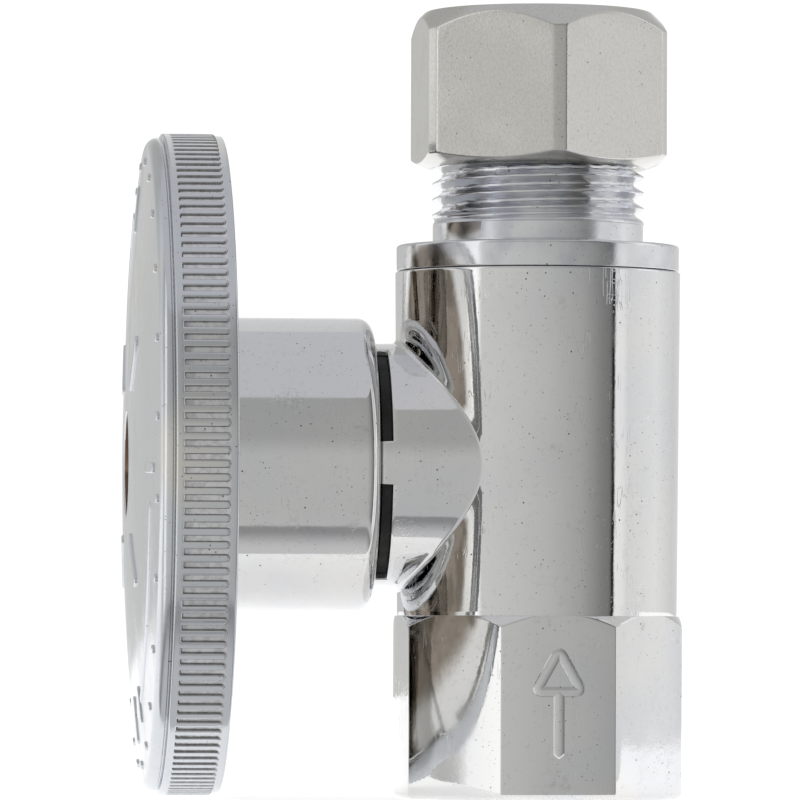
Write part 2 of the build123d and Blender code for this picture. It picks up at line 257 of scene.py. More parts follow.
def stroke(shell, path, width, height, lift_at, closed=False):
    """Raised rounded bar along a path; lift_at(u, v, h) puts a point h above the surface."""
    rings = []
    count = len(path)
    sections = 6
    for i, (u, v) in enumerate(path):
        ahead = path[(i + 1) % count] if closed or i + 1 < count else path[i]
        behind = path[i - 1] if closed or i else path[i]
        dx, dy = ahead[0] - behind[0], ahead[1] - behind[1]
        size = math.hypot(dx, dy) or 1.0
        nx, ny = -dy / size, dx / size
        ring = []
        for k in range(sections + 1):
            t = math.pi * k / sections
            side, rise = math.cos(t) * width / 2, math.sin(t) ** 0.8 * height
            ring.append(lift_at(u + nx * side, v + ny * side, rise - MARK_SINK))
        ring.append(lift_at(u + nx * -width / 4, v + ny * -width / 4, -MARK_ROOT))
        ring.append(lift_at(u + nx * width / 4, v + ny * width / 4, -MARK_ROOT))
        rings.append(shell.ring(ring))
    if closed:
        shell.loft(rings, looped=True)
        return
    for end, inner in ((0, 1), (count - 1, count - 2)):
        u, v = path[end]
        dx, dy = u - path[inner][0], v - path[inner][1]
        size = math.hypot(dx, dy) or 1.0
        tip = lift_at(u + dx / size * width * 0.45, v + dy / size * width * 0.45, -MARK_SINK)
        apex = shell.ring([tip])[0]
        ring = rings[end]
        for a, b in zip(ring, ring[1:] + ring[:1]):
            shell.faces.append((a, b, apex))
    shell.loft(rings)


def pad(shell, outline, height, lift_at, depth=MARK_ROOT, edge=0.14):
    """Raised flat mark with a rounded edge. The outline is convex, in the surface's own coordinates."""
    cx = sum(p[0] for p in outline) / len(outline)
    cy = sum(p[1] for p in outline) / len(outline)
    rings = []
    steps = ((0, -depth), (0, height - edge * 0.9), (0.12, height * 0.7), (0.5, height * 0.93), (1, height))
    for inset, rise in steps:
        ring = []
        for x, y in outline:
            reach = math.hypot(x - cx, y - cy)
            keep = max(0.0, 1 - inset * edge / reach)
            ring.append(lift_at(cx + (x - cx) * keep, cy + (y - cy) * keep, rise))
        rings.append(shell.ring(ring))
    shell.loft(rings)
    shell.faces.append(tuple(rings[0]))
    shell.faces.append(tuple(reversed(rings[-1])))


# ---------------------------------------------------------------- valve body

NECK_STEP = 0.75
FULL_TURN = 2 * math.pi


def barrel_r(z):
    return BARREL_FOOT_R + (BARREL_TOP_R - BARREL_FOOT_R) * (z - OCTAGON_TOP) / (BARREL_TOP - OCTAGON_TOP)


def neck_r(out):
    return NECK_ROOT_R + (NECK_R - NECK_ROOT_R) * (out - 1) / (NECK_FACE - 1)


def octagon_r(theta):
    lean = (math.degrees(theta) - OCTAGON_TURN + 22.5) % 45 - 22.5
    crown = FLAT_CROWN * abs(lean / 22.5) ** 3
    return smooth_min(FLAT_APOTHEM / math.cos(math.radians(lean)) - crown, OCTAGON_CORNER_R, 0.05)


def hexagon_r(theta):
    lean = (math.degrees(theta) - NUT_TURN + 30) % 60 - 30
    return smooth_min(NUT_APOTHEM / math.cos(math.radians(lean)), NUT_CORNER_R, 0.05)


def inside(phi_deg, centre, width, ramp=0.24):
    """1 within an angular sector, 0 outside it, with a steep ramp at its edges."""
    off = abs((phi_deg - centre + 180) % 360 - 180)
    return min(max((width / 2 - off) / ramp + 0.5, 0.0), 1.0)


def neck_angles():
    """Angles about the stem axis in degrees, the same on both sides, with the tab edges among them."""
    half = {NECK_STEP * i for i in range(int(180 / NECK_STEP) + 1)}
    edges = [19.5, 80, 100, 160.5, 22.5, 157.5]
    half = {p for p in half if all(abs(p - e) > 0.3 for e in edges)}
    half |= {e + d for e in edges for d in (-0.12, 0.12)}
    return sorted(half | {-p for p in half if 0 < p < 180})


def wrap_grid(shell, phis, hole, wall, low, high, rows):
    """Grid on a wall about the flow axis, from a ring of points round a hole in it to its whole edge."""
    rings = []
    for k in range(1, rows + 1):
        t = k / rows
        ring = []
        for phi, (x, y, z) in zip(phis, hole):
            start = math.degrees(math.atan2(y, -x))
            side = 1 if phi >= 0 else -1
            turn = abs(phi)
            if turn <= 60:
                end, level = side * turn * 3, high
            elif turn >= 120:
                end, level = side * (180 - turn) * 3, low
            else:
                end, level = side * 180, high + (low - high) * (turn - 60) / 60
            a = math.radians(start + (end - start) * t)
            h = z + (level - z) * t
            ring.append((-wall(h) * math.cos(a), wall(h) * math.sin(a), h))
        rings.append(shell.ring(ring))
    return rings


def edge_angles(phis):
    """The angles at which wrap_grid meets the top and bottom edges of its wall."""
    return [math.radians(180 - 3 * p) for p in phis if -60 <= p < 60]


def seam_arc(phi, steps=7):
    """Points of the fillet between neck and barrel at an angle about the stem axis, neck end first."""
    turn = math.radians(phi)
    out = 5.0
    for _ in range(12):
        r = neck_r(out)
        y, z = r * math.sin(turn), STEM_Z + r * math.cos(turn)
        out = math.sqrt(barrel_r(z) ** 2 - y * y)
    seam = Vector((-out, y, z))
    neck_normal = Vector((0, math.sin(turn), math.cos(turn)))
    barrel_normal = Vector((-out, y, 0)).normalized()
    along = neck_normal.cross(barrel_normal).normalized()
    to_neck = along.cross(neck_normal)
    to_barrel = along.cross(barrel_normal)
    if to_neck.x > 0:
        to_neck = -to_neck
    if to_barrel.dot(neck_normal) < 0:
        to_barrel = -to_barrel
    bend = math.acos(max(-1, min(1, neck_normal.dot(barrel_normal))))
    radius = NECK_FILLET
    reach = radius * math.tan(bend / 2)
    handle = radius * math.tan(bend / 4) * 4 / 3
    a = seam + to_neck * reach
    size = neck_r(-a.x) / math.hypot(a.y, a.z - STEM_Z)
    a = Vector((a.x, a.y * size, STEM_Z + (a.z - STEM_Z) * size))
    d = seam + to_barrel * reach
    size = barrel_r(d.z) / math.hypot(d.x, d.y)
    d = Vector((d.x * size, d.y * size, d.z))
    b, c = a - to_neck * handle, d - to_barrel * handle
    points = []
    for k in range(steps + 1):
        t = k / steps
        points.append(tuple(a * (1 - t) ** 3 + b * 3 * t * (1 - t) ** 2 + c * 3 * t * t * (1 - t) + d * t**3))
    return points


def neck_column(phi):
    """Outline of the neck's end, boss and stem bore at an angle, from its outside face inwards."""
    tab = max(inside(phi, centre, width) for centre, width in TABS)
    lug = max(inside(phi, 0, 45), inside(phi, 180, 45))
    end = NECK_FACE + (TAB_END - NECK_FACE) * tab
    lug_r = BOSS_R + (7.30 - BOSS_R) * lug
    corners = [
        (neck_r(end - 0.35), end - 0.35),
        (NECK_R, end, 0.14),
        (TAB_INNER_R, end, 0.10),
        (TAB_INNER_R, NECK_FACE, 0.06),
        (BOSS_R, NECK_FACE, 0.10),
        (BOSS_R, 11.60, 0.02),
        (lug_r, 11.60, 0.06),
        (lug_r, 13.60, 0.06),
        (BOSS_R, 13.60, 0.02),
        (BOSS_R, BOSS_END, 0.20),
        (3.55, BOSS_END, 0.12),
        (3.55, 8.55, 0.02),
        (STEM_BORE_R, 8.55, 0.05),
        (STEM_BORE_R, 7.60),
    ]
    return soften(corners, steps=2)


def inlet_r(theta, z):
    """Radius of the threaded inlet, right-handed, with a conical mouth."""
    pitch = 25.4 / 18
    turn = (z / pitch - theta / FULL_TURN) % 1
    off = abs(turn - 0.5) * pitch
    groove = INLET_GROOVE - (off - 0.05) / math.tan(math.radians(32))
    groove = max(0.0, min(INLET_GROOVE, groove))
    fade = smooth_step((10.4 - z) / 1.2)
    return max(INLET_R + groove * fade, 8.60 - z)


def octagon_column(theta):
    """Outline from the barrel's foot over the shoulder, down the flat and round the bottom edge."""
    size = octagon_r(theta)
    land = min(size, SHOULDER_R)
    slope = SHOULDER_DROP / (OCTAGON_CORNER_R - SHOULDER_R)
    crease = OCTAGON_TOP - (size - land) * slope
    chamfer = 0.30
    foot = min(size, OCTAGON_CORNER_R - 0.45 + chamfer)
    corners = [
        (9.41, OCTAGON_TOP),
        (land, OCTAGON_TOP, 0.05),
        (size, crease - 0.004, 0.09),
        (size, size - foot + chamfer, 0.14),
        (foot - chamfer, 0.0, 0.10),
        (8.60, 0.0),
    ]
    line = soften(corners, steps=4)
    tall = 11
    top, bottom = line[10], line[11]
    fall = [(top[0], top[1] + (bottom[1] - top[1]) * k / tall) for k in range(1, tall)]
    return line[:11] + fall + line[11:]


def make_body_shell():
    shell = Shell()
    phis = neck_angles()
    arcs = [seam_arc(p) for p in phis]
    fillet = [shell.ring(list(row)) for row in zip(*arcs)]
    shell.loft(fillet)

    columns = [neck_column(p) for p in phis]
    neck_rings = []
    steps = 10
    for k in range(1, steps):
        t = k / steps
        ring = []
        for phi, arc, column in zip(phis, arcs, columns):
            x, y, z = arc[0]
            start = math.degrees(math.atan2(y, z - STEM_Z))
            if phi == 180:
                start = 180
            turn = math.radians(start + (phi - start) * smooth_step(t))
            out = -x + (column[0][1] + x) * t
            ring.append(stem_point(neck_r(out), turn, out))
        neck_rings.append(shell.ring(ring))
    end_rings = []
    for row in zip(*columns):
        end_rings.append(shell.ring([stem_point(r, math.radians(p), out) for (r, out), p in zip(row, phis)]))
    shell.loft([fillet[0]] + neck_rings + end_rings)

    outer = wrap_grid(shell, phis, [a[-1] for a in arcs], barrel_r, BARREL_LOW, BARREL_HIGH, 56)
    shell.loft([fillet[-1]] + outer)

    pocket = []
    for p in phis:
        y = STEM_BORE_R * math.sin(math.radians(p))
        z = STEM_Z + STEM_BORE_R * math.cos(math.radians(p))
        pocket.append((-math.sqrt(CAVITY_R**2 - y * y), y, z))
    pocket_ring = shell.ring(pocket)
    inner = wrap_grid(shell, phis, pocket, lambda z: CAVITY_R, CAVITY_FLOOR, CAVITY_TOP, 14)
    shell.loft([end_rings[-1], pocket_ring] + inner)

    thetas = edge_angles(phis)
    rim = [(barrel_r(BARREL_HIGH), BARREL_HIGH), (BARREL_TOP_R, BARREL_TOP, 0.16)]
    rim = soften(rim + [(8.23, BARREL_TOP, 0.08), (8.23, CAVITY_TOP, 0.03), (CAVITY_R, CAVITY_TOP)], steps=3)
    shell.lathe(rim, thetas, looped=False)

    foot = [(barrel_r(BARREL_LOW), BARREL_LOW), (9.40, OCTAGON_TOP + 0.01, 0.10)]
    foot += [(9.405, OCTAGON_TOP)]
    foot_rings = shell.lathe(soften(foot, steps=3), thetas, looped=False)
    offsets = [-22.5, -22.1, -21.7, -21.4, -21.1, -20.8, -20.4, -19.8, -18.8, -17, -15]
    offsets += [-12, -9, -6, -3, 0] + [3, 6, 9, 12, 15, 17, 18.8, 19.8, 20.4, 20.8, 21.1, 21.4, 21.7, 22.1]
    flats = [math.radians(OCTAGON_TURN + 45 * i + off) for i in range(8) for off in offsets]
    octagon = shell.columns(flats, octagon_column)
    shell.zip(foot_rings[-1], octagon[0], flow_angle)

    heights = spread(0.06, 10.5, 116)
    bore = [shell.ring([flow_point(inlet_r(t, z), t, z) for t in flats]) for z in heights]
    inside_line = [(INLET_R, 10.5), (4.60, 12.5, 0.1), (4.60, 16.43, 0.05)]
    inside_line += [(6.32, 16.43, 0.05), (6.32, CAVITY_FLOOR)]
    passage = shell.lathe(soften(inside_line, steps=2), flats, looped=False)
    shell.loft([octagon[-1]] + bore + [passage[0]])
    floor_ring = shell.lathe([(6.60, CAVITY_FLOOR), (CAVITY_R, CAVITY_FLOOR)], thetas, looped=False)
    shell.zip(passage[-1], floor_ring[0], flow_angle)

    aim = math.radians(OCTAGON_TURN)

    def on_flat(u, v, h):
        out = FLAT_APOTHEM + h
        return (u * math.cos(aim) + out * math.sin(aim), u * math.sin(aim) - out * math.cos(aim), v)

    head = divide(soften([(-1.55, 7.25), (1.55, 7.25), (0, 10.0)], 0.5, 5, closed=True), 0.2)
    stroke(shell, head, 0.72, FLOW_ARROW, on_flat, closed=True)
    stroke(shell, [(0, v) for v in spread(3.1, 7.2, 24)], 0.76, FLOW_ARROW, on_flat)
    return shell


# ---------------------------------------------------------------- outlet fitting


def thread_r(theta, z, crest, root, crest_width, root_width):
    """Radius of a right-hand thread, a crest of which crosses +X at height THREAD_START."""
    turn = (z - THREAD_START) / THREAD_PITCH - theta / FULL_TURN
    off = abs((turn + 0.5) % 1 - 0.5) * THREAD_PITCH
    flank = (THREAD_PITCH - crest_width - root_width) / 2
    depth = min(max((off - crest_width / 2) / flank, 0.0), 1.0)
    return crest - (crest - root) * depth


def outlet_r(theta, z):
    """Outside radius of the outlet thread, which fades out towards the collar."""
    cut = smooth_step((z - 38.55) / 0.95)
    root = THREAD_CREST_R - 0.05 - (THREAD_CREST_R - 0.05 - THREAD_ROOT_R) * cut
    r = thread_r(theta, z, THREAD_CREST_R, root, 0.10, 0.15)
    return min(r, THREAD_CREST_R + 0.9 - 1.5 * max(0, z - 46.1) / 0.9)


def make_fitting_shell():
    shell = Shell()
    thetas = [FULL_TURN * i / 288 for i in range(288)]
    lower = [
        (6.32, 28.30, 0.05),
        (8.20, 28.30, 0.10),
        (8.20, 33.40, 0.05),
        (7.40, 33.40, 0.05),
        (7.40, 34.60, 0.05),
        (8.20, 34.60, 0.05),
        (8.20, 35.45, 0.02),
        (COLLAR_R - 0.02, 35.45, 0.10),
        (COLLAR_R, COLLAR_TOP, 0.24),
        (THREAD_CREST_R - 0.05, COLLAR_TOP, 0.25),
        (THREAD_CREST_R - 0.05, 38.55),
    ]
    line = soften([(6.32, 28.27)] + lower, steps=5)
    heights = spread(38.58, 43.6, 126) + spread(43.66, 46.96, 55)
    top = [(6.55, FITTING_TOP), (SOCKET_R + 0.80, FITTING_TOP, 0.06), (SOCKET_R, FITTING_TOP - 0.8, 0.06)]
    top += [(SOCKET_R, 40.0, 0.06), (3.60, 40.0, 0.06), (3.60, 28.27, 0.03), (6.32, 28.27)]
    rings = shell.lathe(line, thetas, looped=False)
    bands = [shell.ring([flow_point(outlet_r(t, z), t, z) for t in thetas]) for z in heights]
    inner = shell.lathe(soften(top, steps=3), thetas, looped=False)
    shell.loft([rings[-1]] + bands + [inner[0]])
    return shell


# ---------------------------------------------------------------- nut and sleeve


def nut_column(theta):
    """Outline of the nut from its mouth, round the outside, to the rim of its tube hole."""
    size = hexagon_r(theta)
    low = NUT_BOTTOM + (size - 7.35) * 0.72 / 1.77
    high = NUT_TOP - (size - 7.62)
    corners = [
        (6.62, 43.08),
        (7.30, NUT_BOTTOM, 0.05),
        (7.36, NUT_BOTTOM, 0.05),
        (size, low, 0.16),
        (size, high, 0.14),
        (7.62, NUT_TOP, 0.16),
        (5.60, NUT_TOP, 0.12),
        (5.15, NUT_TOP - 0.42, 0.05),
        (5.15, 51.47, 0.05),
        (5.70, 50.63, 0.05),
        (5.70, 49.50, 0.05),
        (7.33, 49.50, 0.05),
        (7.33, 49.0),
    ]
    line = soften(corners, steps=4)
    side = 12
    bottom, top = line[15], line[16]
    rise = [(bottom[0], bottom[1] + (top[1] - bottom[1]) * k / side) for k in range(1, side)]
    return line[:16] + rise + line[16:]


def make_nut_shell():
    shell = Shell()
    fine = [30, 29.4, 28.8, 28.3, 27.9, 27.5, 27.2, 26.9, 26.5, 26.0, 25.2, 24, 22]
    fine += [19.5, 17, 14, 11, 8, 5, 2.5]
    offsets = [-v for v in fine] + [0] + fine[:0:-1]
    thetas = [math.radians(NUT_TURN + 60 * i + off) for i in range(6) for off in offsets]
    rings = shell.columns(thetas, nut_column)
    heights = spread(48.98, 43.10, 58)
    thread = []
    for z in heights:
        radii = [thread_r(t, z, 7.25, 6.62, 0.26, 0.13) for t in thetas]
        thread.append(shell.ring([flow_point(r, t, z) for r, t in zip(radii, thetas)]))
    shell.loft([rings[-1]] + thread + [rings[0]])
    return shell


def make_sleeve_shell():
    shell = Shell()
    thetas = [FULL_TURN * i / 192 for i in range(192)]
    corners = [
        (5.00, 46.47, 0.02),
        (5.06, 46.47, 0.02),
        (5.61, 47.05, 0.12),
        (5.61, 50.60, 0.12),
        (5.16, 51.29, 0.06),
        (5.00, 51.29, 0.04),
    ]
    shell.lathe(soften(corners, steps=3, closed=True), thetas)
    return shell


# ---------------------------------------------------------------- handle


def dome_out(radius):
    """How far out the dome's face stands at a distance from the stem axis."""
    edge = DOME_EDGE_R - DOME_CORNER_R
    rise = DOME_CENTRE - DOME_EDGE
    sphere_r = (edge**2 + rise**2) / (2 * rise)
    return DOME_CENTRE - sphere_r + math.sqrt(sphere_r**2 - radius**2)


def rib_rise(off, out):
    """Height of the rim at a distance off a rib's middle line: ribs, with slots closed at the front."""
    past = max(RIB_START + 0.24 - out, 0.0)
    rib = max(0.0, 1 - (math.hypot(off, past) / RIB_FOOT) ** 6) ** 0.5
    closed = smooth_step((out - SLOT_END) / 0.14)
    return (RIB_R - RIM_R - 0.01) * max(rib, closed)


def make_handle_shell():
    shell = Shell()
    pitch = FULL_TURN / RIB_COUNT
    half = [0.10, 0.19, 0.235, 0.27, 0.295, 0.31]
    across = [-0.5] + [-share for share in reversed(half)] + [0] + half
    rim_angles = [pitch * (i + off) for i in range(RIB_COUNT) for off in across]
    offs = [off * pitch * RIB_R for _ in range(RIB_COUNT) for off in across]
    outs = [21.95, 22.05, 22.08, 22.12, 22.17, 22.24, 22.34, 22.9]
    outs += [23.6, 24.3, 24.95, 25.0, 25.03, 25.07, 25.11, 25.22]
    back = soften([(20.9, 21.5), (RIM_R, 21.5, 0.32), (RIM_R, 21.95)], steps=4)
    band_r = RIB_R - 0.01
    front = soften([(band_r, 25.22), (band_r, 25.56, 0.16), (21.66, 25.62, 0.08), (21.66, 25.70)], steps=4)
    back_rings = shell.lathe(back, rim_angles, stem_point, looped=False)
    rib_rings = []
    for out in outs:
        radii = [RIM_R + rib_rise(off, out) for off in offs]
        rib_rings.append(shell.ring([stem_point(r, t, out) for r, t in zip(radii, rim_angles)]))
    front_rings = shell.lathe(front, rim_angles, stem_point, looped=False)
    shell.loft([back_rings[-1]] + rib_rings + [front_rings[0]])

    thetas = [FULL_TURN * i / 288 for i in range(288)]
    edge = DOME_EDGE_R - DOME_CORNER_R
    dome_foot = dome_out(edge) - DOME_CORNER_R

    def drive(theta):
        lean = (math.degrees(theta) + 45) % 90 - 45
        return min(2.53 / math.cos(math.radians(lean)), 3.53)

    def skirt(theta):
        deg = math.degrees(theta)
        lug = max(inside(deg, -45, 44, 1.3), inside(deg, 135, 44, 1.3))
        return 8.30 - 1.50 * lug

    step = [(21.66, 25.70), (21.67, 25.74, 0.03), (DOME_EDGE_R, 25.82, 0.06), (DOME_EDGE_R, dome_foot)]
    corner = []
    for k in range(1, 9):
        t = math.pi / 2 * k / 8
        corner.append((edge + DOME_CORNER_R * math.cos(t), dome_foot + DOME_CORNER_R * math.sin(t)))
    face = [(r, dome_out(r)) for r in spread(edge, HOLE_EDGE_R, 44)[1:]]
    hole = [(HOLE_EDGE_R, dome_out(HOLE_EDGE_R)), (3.50, dome_out(3.50) - 0.02, 0.14), (3.50, 23.50, 0.05)]
    hole += [(3.25, 23.50, 0.05), (3.25, 21.0, 0.05), (2.0, 21.0, 0.05), (2.0, 20.9)]
    shell_line = soften(step, steps=3) + corner + face + soften(hole, steps=4)[1:]
    start = shell.lathe(shell_line, thetas, stem_point, looped=False)
    drive_line = [(drive, 20.9), (drive, 14.66), (lambda t: drive(t) + 0.06, 14.60)]
    drive_rings = shell.lathe(drive_line, thetas, stem_point, looped=False)
    inner = [(3.75, 14.60), (5.2, 14.60, 0.1), (5.2, 18.5, 0.2), (8.3, 18.5, 0.2), (8.3, 13.66)]
    inner_rings = shell.lathe(soften(inner, steps=3), thetas, stem_point, looped=False)
    lug_line = [(skirt, 13.58), (skirt, 11.62), (8.30, 11.55)]
    lug_rings = shell.lathe(lug_line, thetas, stem_point, looped=False)
    hub_edge = HUB_R - HUB_CORNER_R
    outer = [(8.30, 11.50), (8.30, HUB_END, 0.12), (hub_edge, HUB_END, 0.02)]
    outer = soften(outer + [(hub_edge, HUB_END)], steps=3)[:-1]
    for k in range(1, 10):
        t = math.pi / 2 * k / 10
        across_corner, along_corner = HUB_CORNER_R * math.sin(t), HUB_CORNER_R * math.cos(t)
        outer.append((hub_edge + across_corner, HUB_END + HUB_CORNER_R - along_corner))
    tail = [(HUB_R, HUB_END + HUB_CORNER_R), (HUB_R, 25.0, 0.5), (20.4, 24.6, 0.4)]
    tail += [(20.4, 21.5, 0.14), (20.9, 21.5)]
    outer += divide(soften(tail, steps=5), 1.2)
    outer_rings = shell.lathe(outer, thetas, stem_point, looped=False)
    shell.loft([start[-1], drive_rings[0]])
    shell.loft([drive_rings[-1], inner_rings[0]])
    shell.loft([inner_rings[-1], lug_rings[0]])
    shell.loft([lug_rings[-1], outer_rings[0]])

    def stem_angle(p):
        return math.atan2(p[1], p[2] - STEM_Z)

    shell.zip(back_rings[0], outer_rings[-1], stem_angle)
    shell.zip(front_rings[-1], start[0], stem_angle)

    def on_dome(u, v, h):
        return stem_point(math.hypot(u, v), math.atan2(v, u), dome_out(math.hypot(u, v)) + h)

    def on_recess(u, v, h):
        return stem_point(math.hypot(u, v), math.atan2(v, u), 24.85 - h)

    def turned(points, deg):
        c, s = math.cos(math.radians(deg)), math.sin(math.radians(deg))
        return [(x * c - y * s, x * s + y * c) for x, y in points]

    def block(x, y, width, height, deg, radius):
        corners = [(x - width / 2, y - height / 2), (x + width / 2, y - height / 2)]
        corners += [(x + width / 2, y + height / 2), (x - width / 2, y + height / 2)]
        return turned(soften(corners, radius, 4, closed=True), deg)

    for begin in (200, 20):
        bends = [math.radians(a) for a in spread(begin + 4, begin + 60, 56)]
        path = [(MARK_ARC_R * math.cos(a), MARK_ARC_R * math.sin(a)) for a in bends]
        stroke(shell, path, 0.70, MARK_RISE, on_dome)
        arrow = [(MARK_ARC_R, -2.2), (MARK_ARC_R + 1.4, 0.5), (MARK_ARC_R - 1.4, 0.5)]
        pad(shell, turned(soften(arrow, 0.35, 4, closed=True), begin), MARK_RISE, on_dome)
        for tick in (begin + 68, begin - 16):
            pad(shell, block(MARK_ARC_R, 0, 3.2, 0.7, tick, 0.28), MARK_RISE, on_dome)
    for i in range(24):
        dot = [(20.3 + 0.3 * math.cos(a), 0.3 * math.sin(a)) for a in spread(0, FULL_TURN, 14)[:-1]]
        pad(shell, turned(dot, 15 * i + 7.5), MARK_RISE, on_dome)
    for i in range(4):
        pad(shell, block(9.2, 0, 4.6, 0.8, 90 * i + 45, 0.32), MARK_RISE, on_dome)
    for i in range(6):
        pad(shell, block(15.15, 0, 11.3, 1.4, 60 * i + 30, 0.05), 2.25, on_recess, depth=0.5, edge=0.16)
    return shell


# ---------------------------------------------------------------- materials


class Finish:
    """Node material built up from procedural layers in object space, in metres."""

    def __init__(self, name, colour, metallic, roughness):
        self.material = bpy.data.materials.new(name)
        self.material.use_nodes = True
        self.tree = self.material.node_tree
        self.shader = self.tree.nodes["Principled BSDF"]
        self.shader.inputs["Metallic"].default_value = metallic
        self.place = self.add("ShaderNodeTexCoord").outputs["Object"]
        self.colour = self.mix(colour, colour, 0.5)
        self.rough = self.math("ADD", roughness, 0.0)
        self.normal = None

    def add(self, kind, **settings):
        node = self.tree.nodes.new(kind)
        for key, value in settings.items():
            setattr(node, key, value)
        return node

    def join(self, source, target):
        if isinstance(source, (int, float)):
            target.default_value = source
        elif isinstance(source, (tuple, list)):
            target.default_value = (*source, 1.0) if len(source) == 3 else source
        else:
            self.tree.links.new(source, target)

    def math(self, operation, a, b=0.0):
        node = self.add("ShaderNodeMath", operation=operation)
        self.join(a, node.inputs[0])
        self.join(b, node.inputs[1])
        return node.outputs[0]

    def mix(self, a, b, amount):
        node = self.add("ShaderNodeMix", data_type="RGBA")
        self.join(amount, node.inputs[0])
        self.join(a, node.inputs[6])
        self.join(b, node.inputs[7])
        return node.outputs[2]

    def ramp(self, value, low, high, out_low=0.0, out_high=1.0):
        node = self.add("ShaderNodeMapRange", interpolation_type="SMOOTHSTEP")
        for socket, number in zip(node.inputs, (value, low, high, out_low, out_high)):
            self.join(number, socket)
        return node.outputs[0]

    def stretched(self, scale, turn=(0, 0, 0)):
        node = self.add("ShaderNodeMapping")
        node.inputs["Scale"].default_value = scale
        node.inputs["Rotation"].default_value = turn
        self.join(self.place, node.inputs["Vector"])
        return node.outputs[0]

    def noise(self, scale, detail=3.0, roughness=0.55, distortion=0.0, where=None):
        node = self.add("ShaderNodeTexNoise")
        self.join(where or self.place, node.inputs["Vector"])
        numbers = {"Scale": scale, "Detail": detail, "Roughness": roughness, "Distortion": distortion}
        for key, number in numbers.items():
            node.inputs[key].default_value = number
        return node.outputs["Fac"]

    def cells(self, scale):
        node = self.add("ShaderNodeTexVoronoi")
        self.join(self.place, node.inputs["Vector"])
        node.inputs["Scale"].default_value = scale
        return node.outputs["Distance"]

    def bump(self, height, distance):
        """Adds relief; distance is the height in metres that 0 to 1 stands for."""
        node = self.add("ShaderNodeBump")
        node.inputs["Strength"].default_value = 1.0
        node.inputs["Distance"].default_value = distance
        self.join(height, node.inputs["Height"])
        if self.normal:
            self.join(self.normal, node.inputs["Normal"])
        self.normal = node.outputs[0]

    def tint(self, colour, amount):
        self.colour = self.mix(self.colour, colour, amount)

    def rougher(self, amount, by):
        self.rough = self.math("ADD", self.rough, self.math("MULTIPLY", amount, by))

    def specks(self, scale, size, colour, share=0.5, depth=0.00001):
        """Small pits with dark floors, in patches."""
        spot = self.ramp(self.cells(scale), size * 0.6, size, 1.0, 0.0)
        patch = self.ramp(self.noise(scale * 0.23, 2.0), 1 - share - 0.06, 1 - share + 0.06)
        pit = self.math("MULTIPLY", spot, patch)
        self.tint(colour, pit)
        self.bump(self.math("SUBTRACT", 1.0, pit), depth)
        self.rougher(pit, 0.25)

    def scratches(self, scale, stretch, turn, width, depth, share=0.45):
        """Fine marks that run one way, broken up by a coarse noise."""
        lines = self.noise(scale, 2.0, 0.6, where=self.stretched(stretch, turn))
        mark = self.ramp(lines, 0.5 - width, 0.5, 0.0, 1.0)
        back = self.ramp(lines, 0.5, 0.5 + width, 1.0, 0.0)
        patch = self.ramp(self.noise(330, 2.0), 1 - share - 0.05, 1 - share + 0.05)
        both = self.math("MULTIPLY", self.math("MULTIPLY", mark, back), patch)
        self.bump(self.math("SUBTRACT", 1.0, both), depth)
        self.rougher(both, 0.10)

    def finish(self):
        self.join(self.colour, self.shader.inputs["Base Color"])
        rough = self.math("MAXIMUM", self.math("MINIMUM", self.rough, 1.0), 0.02)
        self.join(rough, self.shader.inputs["Roughness"])
        if self.normal:
            self.join(self.normal, self.shader.inputs["Normal"])
        return self.material


def polished_chrome(name):
    f = Finish(name, (0.80, 0.798, 0.79), 1.0, 0.035)
    f.tint((0.73, 0.74, 0.77), f.ramp(f.noise(95, 3.0), 0.42, 0.62, 0.0, 0.6))
    f.tint((0.80, 0.765, 0.71), f.ramp(f.noise(60, 2.0, distortion=0.6), 0.60, 0.72, 0.0, 0.55))
    f.tint((0.66, 0.65, 0.63), f.ramp(f.noise(2300, 5.0, 0.7), 0.54, 0.74, 0.0, 0.7))
    f.tint((0.50, 0.47, 0.42), f.ramp(f.noise(360, 5.0, 0.72), 0.62, 0.76, 0.0, 0.6))
    f.bump(f.noise(170, 1.5, 0.4), 0.000016)
    f.bump(f.noise(900, 3.0, 0.6), 0.0000030)
    f.scratches(1300, (1.0, 1.0, 0.12), (0.1, 0.05, 0), 0.012, 0.0000035, 0.42)
    f.scratches(1300, (0.12, 0.12, 1.0), (0.5, 0.3, 0.4), 0.010, 0.0000030, 0.36)
    f.scratches(1100, (1.0, 0.2, 0.12), (0.4, 0.6, 0.2), 0.010, 0.0000030, 0.36)
    f.specks(1500, 0.10, (0.12, 0.11, 0.10), 0.46, 0.000008)
    f.specks(2600, 0.12, (0.14, 0.13, 0.12), 0.44, 0.000005)
    f.specks(4200, 0.15, (0.20, 0.19, 0.18), 0.40, 0.000004)
    f.rougher(f.ramp(f.noise(210, 4.0), 0.45, 0.72), 0.07)
    return f.finish()


def satin_nut(name):
    f = Finish(name, (0.68, 0.672, 0.64), 1.0, 0.12)
    grain = f.noise(7500, 3.0, 0.6, where=f.stretched((1.0, 1.0, 0.7)))
    f.tint((0.58, 0.57, 0.555), f.ramp(grain, 0.40, 0.66, 0.0, 0.55))
    f.tint((0.74, 0.70, 0.58), f.ramp(f.noise(85, 2.0), 0.60, 0.72, 0.0, 0.55))
    f.bump(grain, 0.0000070)
    f.bump(f.noise(330, 2.0, 0.5), 0.000012)
    f.scratches(900, (0.10, 0.10, 1.0), (0.15, 0.25, 0.2), 0.012, 0.000006, 0.35)
    f.scratches(800, (1.0, 1.0, 0.12), (0.4, 0.1, 0), 0.012, 0.000006, 0.30)
    f.specks(1700, 0.10, (0.20, 0.19, 0.18), 0.45, 0.000010)
    f.specks(3000, 0.14, (0.26, 0.25, 0.24), 0.42, 0.000006)
    f.rougher(f.ramp(f.noise(300, 4.0), 0.42, 0.70), 0.12)
    return f.finish()


